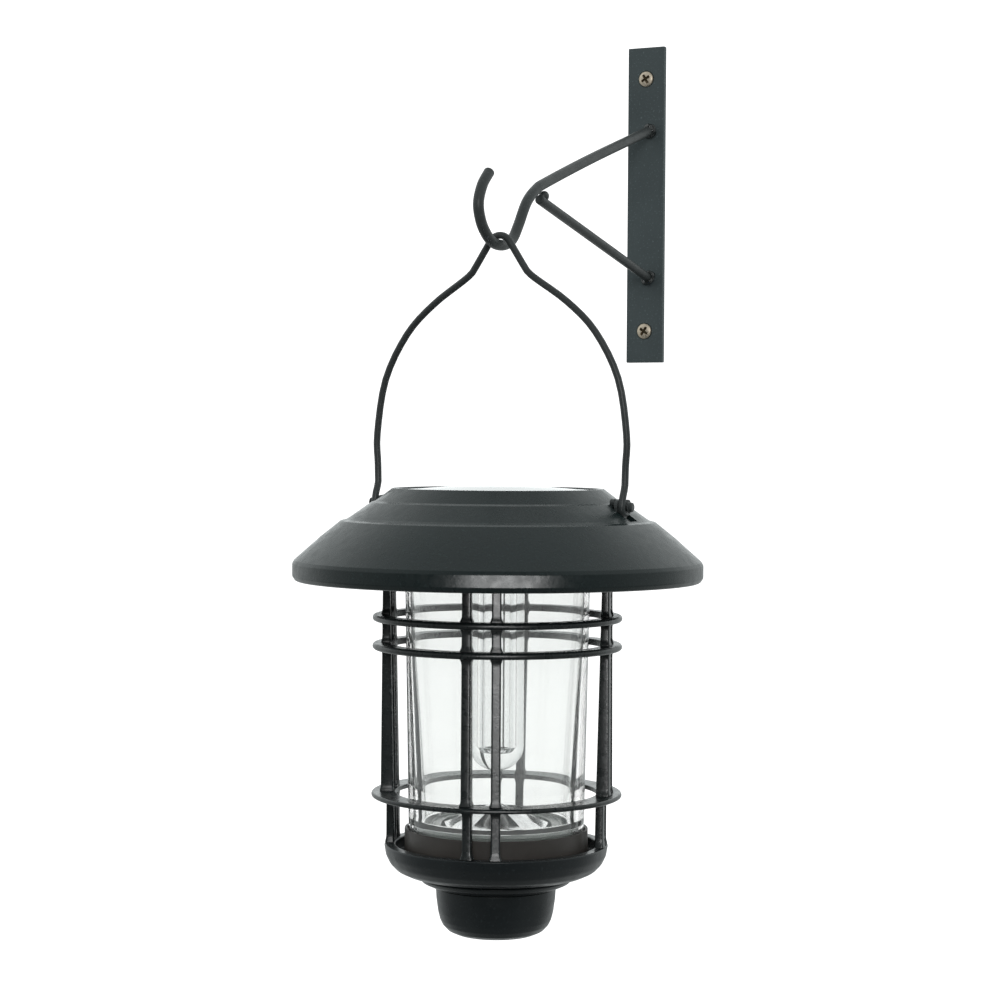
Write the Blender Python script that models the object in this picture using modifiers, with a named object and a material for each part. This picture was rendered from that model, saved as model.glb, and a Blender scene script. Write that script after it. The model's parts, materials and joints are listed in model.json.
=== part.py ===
"""Solar hanging lantern on a wall bracket, modelled as separate solids.

Units are metres and +Z is up. The wall is the plane y = 0 and the object stands out of it
towards -Y. The origin is the centre of the wall plate's back face. The lantern hangs from
the bracket's hook on a vertical axis, and heights are measured from the origin. Profiles and
outlines are in millimetres.
"""
import math

import bmesh
import bpy
from mathutils import Vector

MM = 0.001
GAP = 0.3 * MM            # air kept between two pieces that touch on the real object

# Bracket
PLATE_WIDTH = 20.0 * MM
PLATE_THICK = 3.0 * MM
PLATE_HEIGHT = 160.0 * MM
SCREW_Z = 64.0 * MM       # wall screws sit this far above and below the plate's middle
ROD_RADIUS = 2.4 * MM
ARM_X = 3.2 * MM          # the arm is welded nearer to one edge of the plate
HOOK_REACH = 166.4 * MM   # wall to the lantern's axis
HOOK_ROD_Z = -32.0 * MM   # centre of the rod at the bottom of the hook
# (distance from the lantern's axis towards the wall, height) along the hook arm, in mm
ARM_ROUTE = [(162.3, 37.8), (94.4, 16.6), (46.4, 0.6), (35.3, -3.9), (26.0, -10.6),
             (18.2, -21.4), (12.8, -27.9), (6.8, -31.0), (0, -32.0), (-7.1, -31.1),
             (-13.5, -27.5), (-18.2, -22.2), (-20.3, -14.8), (-16.8, -6.6), (-10.2, 0.0)]
BRACE_ROUTE = [(162.4, -37.6), (39.2, -8.2)]
ARM_SLOPE = math.radians(17.0)
BRACE_SLOPE = math.radians(13.4)
WELD_DISTANCE = 160.4     # lantern's axis to the middle of the beads at the plate, in mm

# Handle
WIRE_RADIUS = 1.6 * MM
LOOP_RADIUS = 5.9 * MM    # centreline of the loop over the hook
PIVOT_Z = -148.7 * MM     # height of the axis on which the lantern tilts in its handle
# (distance from the axis, height) down one leg of the handle from its top loop, in mm
LEG_ROUTE = [(7.4, -34.2), (13.0, -42.7), (14.7, -44.7), (18.6, -47.7), (34.2, -58.2),
             (48.0, -71.6), (59.2, -92.2), (63.5, -117.0), (63.1, -131.0)]
EYE_X = 62.9 * MM         # middle of the eye at each end of the handle
EYE_RADIUS = 3.05 * MM
LUG_X = 60.0 * MM         # middle of the roof's lug, which the pivot screw is fixed in
LUG_THICK = 1.6 * MM
PIVOT_RADIUS = 1.1
LUG_SLOT = (58.0 * MM, 67.4 * MM, 4.2 * MM)   # inner end, outer end and half width

# Head
HOUSING_FLOOR_Z = -178.6  # underside of the module's floor, in mm
LOCK_ANGLES = (90, 210, 330)
CELL_X = 25.5 * MM        # the battery lies along Y, beside the lamp
CELL_Z = -171.2 * MM
CELL_RADIUS = 5.1
CELL_LENGTH = 29.0
BAY_SIZE = (12.0 * MM, 36.0 * MM)
BOARD_X = -24.5 * MM
BOARD_Z = -167.2 * MM
BOARD_PEG_Y = 15.0 * MM
SWITCH_X = -27.0 * MM
SWITCH_TRAVEL = 4.0 * MM
LOCK_SCREW_RADIUS = 50.8 * MM         # the housing screws' distance from the axis
LAMP_RADIUS = 12.2
LAMP_BORE = 6.0
LAMP_BORE_END = -261.0

# Cage and base
POST_COUNT = 8
POST_PAIR_TURN = math.radians(20.2)   # the first pair's angle from +X
POST_SPREAD = math.radians(7.4)       # each post's angle from its pair's middle
POST_WIDTH = 4.15 * MM
RINGS = {                             # name: (height, half height, inner radius, outer radius)
    "upper_cage_ring": (-199.6, 1.5, 49.5, 56.3),
    "middle_cage_ring": (-212.4, 1.5, 48.6, 56.3),
    "lower_cage_ring": (-279.2, 1.05, 45.5, 56.5),
}
REFLECTOR_FACETS = 14

# Steps round a turned piece
WIDE = 32
MEDIUM = 24
NARROW = 18
TINY = 12

FINISHES = {              # name: (colour, roughness, metallic, transmission)
    "coated_metal": ((0.045, 0.055, 0.057), 0.5, 0.0, 0.0),
    "coated_wire": ((0.035, 0.042, 0.043), 0.45, 0.0, 0.0),
    "screw_metal": ((0.62, 0.52, 0.34), 0.35, 1.0, 0.0),
    "inner_steel": ((0.6, 0.61, 0.62), 0.35, 1.0, 0.0),
    "clear_glass": ((0.93, 0.97, 0.96), 0.02, 0.0, 1.0),
    "clear_plastic": ((0.95, 0.96, 0.97), 0.03, 0.0, 1.0),
    "panel_cover": ((0.8, 0.85, 0.9), 0.05, 0.0, 0.6),
    "solar_cell": ((0.02, 0.03, 0.08), 0.3, 0.0, 0.0),
    "black_plastic": ((0.02, 0.021, 0.022), 0.5, 0.0, 0.0),
    "brown_plastic": ((0.075, 0.068, 0.064), 0.55, 0.0, 0.0),
    "seal_rubber": ((0.03, 0.03, 0.03), 0.8, 0.0, 0.0),
    "chrome": ((0.9, 0.9, 0.91), 0.06, 1.0, 0.0),
    "board_green": ((0.02, 0.16, 0.06), 0.5, 0.0, 0.0),
    "cell_wrap": ((0.05, 0.3, 0.12), 0.4, 0.0, 0.0),
    "red_lead": ((0.5, 0.02, 0.02), 0.5, 0.0, 0.0),
    "black_lead": ((0.02, 0.02, 0.02), 0.5, 0.0, 0.0),
    "led_resin": ((0.95, 0.9, 0.6), 0.1, 0.0, 0.0),
}


# Scene helpers

def clear_scene():
    for obj in list(bpy.data.objects):
        bpy.data.objects.remove(obj, do_unlink=True)


def new_collection(name):
    collection = bpy.data.collections.new(name)
    bpy.context.scene.collection.children.link(collection)
    return collection


def make_finish(name):
    color, roughness, metallic, transmission = FINISHES[name]
    material = bpy.data.materials.new(name)
    material.use_nodes = True
    shader = material.node_tree.nodes["Principled BSDF"]
    shader.inputs["Base Color"].default_value = (*color, 1.0)
    shader.inputs["Roughness"].default_value = roughness
    shader.inputs["Metallic"].default_value = metallic
    shader.inputs["Transmission Weight"].default_value = transmission
    return material


def lantern(x=0.0, y=0.0, z=0.0):
    """A point given from the lantern's axis, with its height from the origin."""
    return Vector((ARM_X + x, y - HOOK_REACH, z))


clear_scene()
PIECES = new_collection("solar_wall_lantern")
CUTTERS = new_collection("cutters")
MATERIALS = {name: make_finish(name) for name in FINISHES}


def joint(name, place, parent=None):
    """An empty on a joint's axis, which carries the pieces that move about it."""
    empty = bpy.data.objects.new(name, None)
    empty.empty_display_size = 20 * MM
    PIECES.objects.link(empty)
    settle(empty, place, parent)
    return empty


def settle(obj, place, parent):
    """Put an object at a world point, under a parent that is moved but never turned."""
    if parent is None:
        obj.location = place
        return
    obj.parent = parent
    origin = Vector((0.0, 0.0, 0.0))
    while parent is not None:
        origin += parent.location
        parent = parent.parent
    obj.location = Vector(place) - origin


def add(name, data, finish, home=None, place=(0, 0, 0), turn=(0, 0, 0)):
    obj = bpy.data.objects.new(name, data)
    data.materials.append(MATERIALS[finish])
    PIECES.objects.link(obj)
    obj.rotation_euler = turn
    settle(obj, place, home)
    return obj


def make_cutter(obj):
    """Turn a piece into an operand of a Boolean, which is not part of the model."""
    PIECES.objects.unlink(obj)
    CUTTERS.objects.link(obj)
    obj.hide_render = True
    obj.display_type = "WIRE"
    return obj


def combine(obj, other, operation):
    make_cutter(other)
    boolean = obj.modifiers.new(operation.title(), "BOOLEAN")
    boolean.operation = operation
    boolean.solver = "EXACT"
    boolean.object = other


# Shape helpers

def turned(name, profile, finish, home=None, steps=MEDIUM, place=None, turn=(0, 0, 0)):
    """A turned piece. The profile's (radius, height) points run down its outer side. It is a
    closed loop, unless it starts and ends on the axis."""
    mesh = bpy.data.meshes.new(name)
    points = [(radius * MM, 0.0, height * MM) for radius, height in profile]
    edges = [(index, index + 1) for index in range(len(points) - 1)]
    if profile[0][0] > 0:
        edges.append((len(points) - 1, 0))
    mesh.from_pydata(points, edges, [])
    obj = add(name, mesh, finish, home, lantern() if place is None else place, turn)
    screw = obj.modifiers.new("Turn", "SCREW")
    screw.axis = "Z"
    screw.angle = math.tau
    screw.steps = steps
    screw.render_steps = steps
    screw.use_merge_vertices = True
    screw.merge_threshold = 0.00001
    screw.use_smooth_shade = True
    return obj


def disc(name, radius, top, bottom, finish, home, steps=MEDIUM, place=None):
    profile = [(0, top), (radius, top), (radius, bottom), (0, bottom)]
    return turned(name, profile, finish, home, steps, place)


def ring(name, inner, outer, top, bottom, finish, home, steps=MEDIUM):
    profile = [(inner, top), (outer, top), (outer, bottom), (inner, bottom)]
    return turned(name, profile, finish, home, steps)


def box(name, size, centre, finish, home=None, turn=(0, 0, 0), bevel=0.0):
    mesh = bpy.data.meshes.new(name)
    shape = bmesh.new()
    bmesh.ops.create_cube(shape, size=1.0)
    bmesh.ops.scale(shape, vec=size, verts=shape.verts)
    shape.to_mesh(mesh)
    shape.free()
    obj = add(name, mesh, finish, home, centre, turn)
    if bevel:
        edge = obj.modifiers.new("Edges", "BEVEL")
        edge.width = bevel
        edge.segments = 1
    return obj


def smooth_route(points, samples):
    """Points along a Catmull-Rom curve through the given ones, ends included."""
    knots = [Vector(point) for point in points]
    knots = [2 * knots[0] - knots[1]] + knots + [2 * knots[-1] - knots[-2]]
    route = []
    for before, start, end, after in zip(knots, knots[1:], knots[2:], knots[3:]):
        for step in range(samples):
            t = step / samples
            route.append(0.5 * (2 * start + (end - before) * t
                                + (2 * before - 5 * start + 4 * end - after) * t ** 2
                                + (3 * start - before - 3 * end + after) * t ** 3))
    route.append(knots[-2])
    return route


def wire(name, route, radius, finish, home=None, sides=2, place=(0, 0, 0)):
    """A round wire along a list of points, which are measured from its place."""
    curve = bpy.data.curves.new(name, "CURVE")
    curve.dimensions = "3D"
    curve.bevel_depth = radius
    curve.bevel_resolution = sides
    curve.use_fill_caps = True
    spline = curve.splines.new("POLY")
    spline.points.add(len(route) - 1)
    for point, position in zip(spline.points, route):
        point.co = (*position, 1.0)
    return add(name, curve, finish, home, place)


def flat_piece(name, outlines, thickness, finish, home, place, turn):
    """A flat piece cut to one outline, with any further outlines as its holes."""
    curve = bpy.data.curves.new(name, "CURVE")
    curve.dimensions = "2D"
    curve.fill_mode = "BOTH"
    curve.extrude = thickness / 2
    for outline in outlines:
        spline = curve.splines.new("POLY")
        spline.points.add(len(outline) - 1)
        for point, (across, up) in zip(spline.points, outline):
            point.co = (across, up, 0.0, 1.0)
        spline.use_cyclic_u = True
    return add(name, curve, finish, home, place, turn)


def arc(radius, start, end, steps, centre=(0.0, 0.0)):
    """Points on an arc between two angles in degrees."""
    angles = [math.radians(start + (end - start) * step / steps) for step in range(steps + 1)]
    return [(centre[0] + radius * math.cos(a), centre[1] + radius * math.sin(a)) for a in angles]


# Bracket

def wall_plate():
    plate = box("wall_plate", (PLATE_WIDTH, PLATE_THICK, PLATE_HEIGHT),
                (0, -PLATE_THICK / 2, 0), "coated_metal", bevel=0.4 * MM)
    hole = [(0, 4), (4.5, 4), (4.5, 2.9), (2.4, 0.8), (2.4, -1), (0, -1)]
    for level in (SCREW_Z, -SCREW_Z):
        cutter = turned("screw_hole", hole, "coated_metal", None, NARROW,
                        (0, 0, level), (math.radians(90), 0, 0))
        combine(plate, cutter, "DIFFERENCE")


def wall_screw(name, level):
    profile = [(0, 4.0), (1.7, 3.85), (3.1, 3.45), (3.9, 2.9), (3.6, 2.55), (1.75, 0.7),
               (1.75, -16), (0, -21)]
    screw = turned(name, profile, "screw_metal", None, NARROW,
                   (0, 0, level), (math.radians(90), 0, 0))
    for turn in (0, 90):
        slot = box("driver_slot", (4.6 * MM, 2.8 * MM, 1.1 * MM), (0, -4.1 * MM, level),
                   "screw_metal", turn=(0, math.radians(turn), 0))
        combine(screw, slot, "DIFFERENCE")


def weld_bead(name, level, slope):
    """The bead round a rod where it meets the wall plate."""
    profile = [(2.8, 1.5), (3.4, 1.1), (3.7, 0), (3.5, -1.1), (2.8, -1.5)]
    turned(name, profile, "coated_metal", None, TINY,
           lantern(0, WELD_DISTANCE * MM, level * MM), (math.radians(90) + slope, 0, 0))


def bracket():
    wall_plate()
    wall_screw("upper_wall_screw", SCREW_Z)
    wall_screw("lower_wall_screw", -SCREW_Z)
    arm = [(0.0, along * MM, up * MM) for along, up in ARM_ROUTE]
    wire("hook_arm", smooth_route(arm, 3), ROD_RADIUS, "coated_metal", place=lantern())
    brace = [(0.0, along * MM, up * MM) for along, up in BRACE_ROUTE]
    wire("arm_brace", brace, ROD_RADIUS, "coated_metal", place=lantern())
    weld_bead("arm_weld", 37.2, ARM_SLOPE)
    weld_bead("brace_weld", -37.1, -BRACE_SLOPE)
    bead = [(0, 2.1), (1.5, 1.5), (2.1, 0), (1.5, -1.5), (0, -2.1)]
    turned("brace_end_weld", bead, "coated_metal", None, TINY, lantern(0, 44.4 * MM, -4.8 * MM))


# Handle

def handle(home):
    """A wire that loops over the hook, with an eye at each end that turns on a pivot screw."""
    loop_top = HOOK_ROD_Z + ROD_RADIUS + GAP + WIRE_RADIUS
    loop = arc(LOOP_RADIUS, 90, 33, 4, (0.0, loop_top - LOOP_RADIUS))
    leg = smooth_route([(across, 0.0, up) for across, up in LEG_ROUTE], 2)
    half = [Vector((across, 0.0, up)) for across, up in loop] + [point * MM for point in leg]
    turn_in = [(0.0, 9.7 * MM), (-0.8 * MM, 7.2 * MM), (-2.0 * MM, 4.6 * MM)]
    eye = turn_in + arc(EYE_RADIUS, 160, 410, 10)
    half += [Vector((EYE_X, along, PIVOT_Z + up)) for along, up in eye]
    route = [Vector((-point.x, point.y, point.z)) for point in reversed(half)] + half[1:]
    top = Vector((0.0, 0.0, HOOK_ROD_Z))
    wire("handle_wire", [point - top for point in route], WIRE_RADIUS, "coated_wire", home,
         place=lantern(0, 0, HOOK_ROD_Z))


# Head

ROOF_PROFILE = [
    (40.0, -146.0), (45.4, -146.0), (45.4, -142.0), (46.0, -141.4), (47.7, -141.4),
    (55.2, -147.1), (57.2, -147.8), (66.9, -154.6), (68.4, -155.5), (70.9, -156.1),
    (80.0, -163.4), (88.1, -170.6), (91.7, -173.8), (92.5, -175.3), (92.5, -180.9),
    (91.4, -182.6), (90.5, -183.1), (89.9, -182.5), (90.8, -180.4), (90.8, -176.2),
    (86.9, -171.9), (70.1, -158.0), (65.8, -156.4), (56.4, -149.8), (54.4, -149.1),
    (46.0, -149.1), (46.0, -147.8), (40.0, -147.8)]


def roof(home):
    shell = turned("roof_shell", ROOF_PROFILE, "coated_metal", home, WIDE)
    slot_start, slot_end, slot_half = LUG_SLOT
    for side in (-1, 1):
        slot = box("lug_slot", (slot_end - slot_start, 2 * slot_half, 20 * MM),
                   lantern(side * (slot_start + slot_end) / 2, 0, -150 * MM), "coated_metal",
                   home)
        combine(shell, slot, "DIFFERENCE")
    for angle in LOCK_ANGLES:
        hole = disc("pilot_hole", 1.5, -146.6, -152, "coated_metal", home, TINY,
                    around(LOCK_SCREW_RADIUS, angle))
        combine(shell, hole, "DIFFERENCE")


def around(radius, degrees, height=0.0):
    """A point at a radius from the lantern's axis, in a direction given from +X."""
    angle = math.radians(degrees)
    return lantern(radius * math.cos(angle), radius * math.sin(angle), height)


def lug(name, side, home):
    """A tongue that stands up through a slot in the roof, with a foot that holds it inside."""
    half_neck = 3.3 * MM
    half_foot = 5.9 * MM
    foot_top = -8.2 * MM
    foot_bottom = -10.2 * MM
    outline = arc(3.5 * MM, -19, 199, 12)
    outline += [(-half_neck, foot_top), (-half_foot, foot_top), (-half_foot, foot_bottom),
                (half_foot, foot_bottom), (half_foot, foot_top), (half_neck, foot_top)]
    hole = arc(PIVOT_RADIUS * MM + GAP, 0, 330, 11)
    flat_piece(name, [outline, hole], LUG_THICK, "coated_metal", home,
               lantern(side * LUG_X, 0, PIVOT_Z), (math.radians(90), 0, math.radians(90)))


def pivot_screw(name, side, home):
    """The screw in a lug, which carries the handle's eye under its ridged head."""
    profile = [(0, 7.0), (1.7, 7.0), (2.2, 6.6), (1.9, 6.2), (2.4, 5.8), (2.1, 5.4), (2.5, 5.1),
               (2.5, 4.8), (PIVOT_RADIUS, 4.8), (PIVOT_RADIUS, -1.6), (0, -1.6)]
    turned(name, profile, "coated_wire", home, TINY, lantern(side * LUG_X, 0, PIVOT_Z),
           (0, side * math.radians(90), 0))


def solar_panel(home):
    cover = [(0, -140.4), (25.0, -140.8), (44.0, -141.7), (45.1, -142.2), (45.1, -144.7),
             (0, -144.7)]
    turned("solar_cover", cover, "panel_cover", home, WIDE)
    ring("panel_gasket", 40.6, 44.8, -145.0, -145.7, "seal_rubber", home)
    disc("solar_board", 39.4, -145.0, -146.4, "solar_cell", home)


def module_housing(home):
    floor_top = HOUSING_FLOOR_Z + 1.8
    profile = [(42.7, -148.1), (44.5, -148.1), (44.5, floor_top), (59.5, floor_top),
               (59.5, -184.0), (57.2, -184.0), (57.2, HOUSING_FLOOR_Z), (15.0, HOUSING_FLOOR_Z),
               (15.0, floor_top), (42.7, floor_top)]
    housing = turned("module_housing", profile, "black_plastic", home, WIDE)
    for angle in LOCK_ANGLES:
        turn = (0, 0, math.radians(angle))
        ear = box("ear", (10.4 * MM, 8 * MM, 2.5 * MM), around(48.8 * MM, angle, -150.7 * MM),
                  "black_plastic", home, turn)
        combine(housing, ear, "UNION")
        hole = disc("ear_hole", 1.7, -148, -153, "black_plastic", home, TINY,
                    around(LOCK_SCREW_RADIUS, angle))
        combine(housing, hole, "DIFFERENCE")
        ledge = box("lock_ledge", (4.0 * MM, 16 * MM, 2.0 * MM),
                    around(56.2 * MM, angle, -183.0 * MM), "black_plastic", home, turn)
        combine(housing, ledge, "UNION")
    for side in (-1, 1):
        wall = box("bay_wall", (12.6 * MM, 1.6 * MM, 12 * MM),
                   lantern(CELL_X, side * 19.2 * MM, -171.0 * MM), "black_plastic", home)
        combine(housing, wall, "UNION")
        peg = disc("board_peg", 2.4, -168.2, -177.5, "black_plastic", home, TINY,
                   lantern(BOARD_X + 3 * MM, side * BOARD_PEG_Y))
        combine(housing, peg, "UNION")
    bay = box("bay_opening", (*BAY_SIZE, 6 * MM),
              lantern(CELL_X, 0, HOUSING_FLOOR_Z * MM), "black_plastic", home)
    combine(housing, bay, "DIFFERENCE")
    slot = box("switch_slot", (3.4 * MM, 7.4 * MM, 6 * MM),
               lantern(SWITCH_X, 0, HOUSING_FLOOR_Z * MM), "black_plastic", home)
    combine(housing, slot, "DIFFERENCE")
    screw = [(0, -147.2), (1.2, -147.2), (1.2, -152.2), (2.6, -152.2), (2.6, -153.4),
             (1.8, -154.0), (0, -154.0)]
    for number, angle in enumerate(LOCK_ANGLES, 1):
        turned(f"housing_screw_{number}", screw, "inner_steel", home, TINY,
               around(LOCK_SCREW_RADIUS, angle))


def battery(home):
    half = CELL_LENGTH / 2
    cell = [(0, half + 0.9), (1.8, half + 0.9), (1.8, half), (CELL_RADIUS - 0.2, half),
            (CELL_RADIUS, half - 0.3), (CELL_RADIUS, -half), (0, -half)]
    along_y = (math.radians(-90), 0, 0)
    turned("battery_cell", cell, "cell_wrap", home, NARROW, lantern(CELL_X, 0, CELL_Z), along_y)
    box("battery_contact", (8 * MM, 0.5 * MM, 8 * MM), lantern(CELL_X, 16.6 * MM, CELL_Z),
        "inner_steel", home)
    turns = 3
    steps = 10
    coil = []
    for step in range(turns * steps + 1):
        share = step / (turns * steps)
        angle = math.tau * step / steps
        radius = (2.0 + 1.8 * share) * MM
        coil.append((radius * math.cos(angle), -2.6 * share * MM, radius * math.sin(angle)))
    wire("battery_spring", coil, 0.3 * MM, "inner_steel", home, 1,
         lantern(CELL_X, -15.2 * MM, CELL_Z))


def battery_cover(home):
    cover = box("battery_cover", (13.6 * MM, 37.2 * MM, 1.5 * MM),
                lantern(CELL_X, 0, -179.65 * MM), "black_plastic", home, bevel=0.3 * MM)
    plug = box("cover_plug", (11.2 * MM, 35.2 * MM, 2.4 * MM),
               lantern(CELL_X, 0, -178.1 * MM), "black_plastic", home)
    combine(cover, plug, "UNION")


def electronics(home):
    box("circuit_board", (24 * MM, 38 * MM, 1.4 * MM), lantern(BOARD_X, 0, BOARD_Z),
        "board_green", home)
    screw = [(0, 1.3), (1.4, 1.3), (1.9, 0.9), (1.9, 0), (0, 0)]
    for side, name in ((-1, "board_screw_1"), (1, "board_screw_2")):
        place = lantern(BOARD_X + 3 * MM, side * BOARD_PEG_Y, BOARD_Z + 1.0 * MM)
        turned(name, screw, "inner_steel", home, TINY, place)
    box("switch_body", (5.6 * MM, 12 * MM, 5.2 * MM), lantern(SWITCH_X, 0, -170.8 * MM),
        "inner_steel", home)


def switch_slider(home):
    """The knob below the floor, its stem through the slot, and the shoulder that keeps it."""
    rest = SWITCH_TRAVEL / 2
    knob = box("switch_slider", (5.0 * MM, 6.0 * MM, 2.0 * MM),
               lantern(SWITCH_X, rest, -179.9 * MM), "black_plastic", home, bevel=0.3 * MM)
    stem = box("slider_stem", (2.6 * MM, 2.6 * MM, 6.0 * MM),
               lantern(SWITCH_X, rest, -176.8 * MM), "black_plastic", home)
    combine(knob, stem, "UNION")
    shoulder = box("slider_shoulder", (5.0 * MM, 5.0 * MM, 1.0 * MM),
                   lantern(SWITCH_X, rest, -176.0 * MM), "black_plastic", home)
    combine(knob, shoulder, "UNION")


def lamp(home):
    tube = [(0, LAMP_BORE_END), (4.4, LAMP_BORE_END + 0.6), (LAMP_BORE, LAMP_BORE_END + 2.2),
            (LAMP_BORE, -170.0), (13.9, -170.0), (13.9, -171.7), (LAMP_RADIUS, -171.7),
            (LAMP_RADIUS, -260.0), (11.3, -264.3), (8.6, -267.6), (4.4, -269.0), (0, -269.3)]
    turned("lamp_tube", tube, "clear_plastic", home, NARROW)
    socket = [(12.6, -172.0), (14.6, -172.0), (14.6, -178.9), (17.4, -178.9), (17.4, -180.3),
              (17.0, -180.7), (12.6, -180.7)]
    turned("lamp_socket", socket, "black_plastic", home)
    disc("led_board", 10.0, -168.5, -169.7, "board_green", home, NARROW)
    led = [(0, -170.0), (2.9, -170.0), (2.9, -171.0), (2.5, -171.0), (2.5, -176.2),
           (1.8, -178.0), (0, -178.7)]
    turned("led_emitter", led, "led_resin", home, TINY)


def leads(home):
    """The two wires from the panel to the board, and the two from the board to the lamp."""
    panel_top = -146.7
    board_top = -166.2
    for side, finish in ((-1, "red_lead"), (1, "black_lead")):
        color = finish.split("_")[0]
        route = [(-18, side * 3, panel_top), (-18, side * 4, -153), (-21, side * 7, -160),
                 (-22, side * 7, board_top)]
        wire(f"panel_lead_{color}", smooth_route(scaled(route), 3), 0.6 * MM, finish, home, 1,
             lantern())
        route = [(-15, side * 4, board_top), (-14, side * 4, -162), (-9, side * 3, -160.5),
                 (-4, side * 3, -163), (-3, side * 3, -168.2)]
        wire(f"lamp_lead_{color}", smooth_route(scaled(route), 3), 0.6 * MM, finish, home, 1,
             lantern())


def scaled(points):
    return [tuple(value * MM for value in point) for point in points]


# Cage and base

def post_angles():
    quarter = math.pi / 2
    for pair in range(POST_COUNT // 2):
        for side in (-1, 1):
            yield POST_PAIR_TURN + pair * quarter + side * POST_SPREAD


def cage(home):
    top = ring("cage_top_ring", 42.4, 53.5, -179.0, -183.4, "coated_metal", home, WIDE)
    for angle in LOCK_ANGLES:
        tab = box("lock_tab", (4.4 * MM, 14 * MM, 2.0 * MM),
                  around(53.7 * MM, angle, -180.7 * MM), "coated_metal", home,
                  (0, 0, math.radians(angle)))
        combine(top, tab, "UNION")
    outline = scaled([(48.5, -183.7), (51.8, -183.7), (52.3, -277.9), (49.7, -280.5),
                      (49.7, -301.4), (46.0, -301.4), (46.4, -277.9)])
    for number, angle in enumerate(post_angles(), 1):
        flat_piece(f"cage_post_{number}", [outline], POST_WIDTH, "coated_metal", home,
                   lantern(), (math.radians(90), 0, angle))
    for name, size in RINGS.items():
        cage_ring(name, *size, home)


def cage_ring(name, level, half, inner, outer, home):
    rounding = min(1.6, half)
    profile = [(inner, level + half), (outer - rounding, level + half),
               (outer - 0.3, level + half / 2), (outer, level), (outer - 0.3, level - half / 2),
               (outer - rounding, level - half), (inner, level - half)]
    band = turned(name, profile, "coated_metal", home, WIDE)
    notch_inner = 40 * MM
    notch_outer = 52.7 * MM
    for angle in post_angles():
        middle = (notch_inner + notch_outer) / 2
        notch = box("post_notch", (notch_outer - notch_inner, POST_WIDTH + 2 * GAP, 12 * MM),
                    around(middle, math.degrees(angle), level * MM), "coated_metal", home,
                    (0, 0, angle))
        combine(band, notch, "DIFFERENCE")


def glass(home):
    chimney = [(39.0, -184.0), (41.8, -184.0), (39.6, -296.2), (36.6, -296.2),
               (36.6, -292.2), (33.0, -290.4), (33.0, -288.0), (36.0, -240.0), (38.0, -212.0)]
    turned("glass_cylinder", chimney, "clear_glass", home, WIDE)
    ring("glass_top_seal", 38.4, 42.0, -179.0, -183.7, "seal_rubber", home)
    ring("glass_base_seal", 36.6, 39.6, -296.5, -297.3, "seal_rubber", home)
    collar = [(40.1, -294.5), (41.4, -294.5), (41.4, -306.5), (36.2, -306.5), (36.2, -297.6),
              (40.1, -297.6)]
    turned("glass_collar", collar, "brown_plastic", home)


def reflector(home):
    """A faceted cone, thin and open below, in the middle of a round deck."""
    mesh = bpy.data.meshes.new("reflector")
    shape = bmesh.new()
    bmesh.ops.create_cone(shape, cap_ends=False, segments=REFLECTOR_FACETS,
                          radius1=24.3 * MM, radius2=1.2 * MM, depth=8.6 * MM)
    top = max(vert.co.z for vert in shape.verts)
    bmesh.ops.contextual_create(shape, geom=[v for v in shape.verts if v.co.z > top - MM])
    shape.to_mesh(mesh)
    shape.free()
    cone = add("reflector", mesh, "chrome", home, lantern(0, 0, -288.2 * MM))
    skin = cone.modifiers.new("Skin", "SOLIDIFY")
    skin.thickness = 0.8 * MM
    skin.offset = -1.0
    skin.use_even_offset = True
    deck = [(24.9, -292.6), (35.9, -292.6), (35.9, -294.2), (35.2, -294.2), (35.2, -313.5),
            (33.6, -313.5), (33.6, -294.2), (24.9, -294.2)]
    turned("reflector_deck", deck, "black_plastic", home)


def base(home):
    bowl = [(45.6, -301.7), (50.2, -301.7), (50.5, -302.3), (49.8, -306.5), (48.0, -310.2),
            (45.1, -313.2), (41.2, -315.0), (37.0, -315.8), (34.4, -316.1), (2.6, -316.1),
            (2.6, -313.8), (36.0, -313.8), (36.0, -306.8), (45.6, -306.8)]
    turned("base_bowl", bowl, "coated_metal", home, WIDE)
    step = [(2.6, -316.4), (34.2, -316.4), (34.8, -317.2), (33.4, -318.9), (29.4, -320.7),
            (28.0, -321.1), (2.6, -321.1)]
    turned("base_step", step, "coated_metal", home)
    cup = [(0, -340.0), (2.4, -340.0), (2.4, -322.2), (4.7, -322.2), (4.7, -340.6),
           (15.6, -340.6), (20.4, -338.4), (22.9, -335.4), (24.2, -332.0), (25.4, -321.4),
           (27.2, -321.4), (26.9, -326.5), (26.1, -332.3), (25.2, -335.9), (24.0, -338.4),
           (21.6, -340.9), (18.2, -342.4), (15.0, -342.9), (0, -343.0)]
    turned("base_cup", cup, "coated_metal", home)
    screw = [(0, -311.0), (3.4, -311.0), (4.0, -311.8), (4.0, -313.5), (1.9, -313.5),
             (1.9, -338.2), (0, -339.2)]
    turned("base_screw", screw, "inner_steel", home, TINY)


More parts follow.
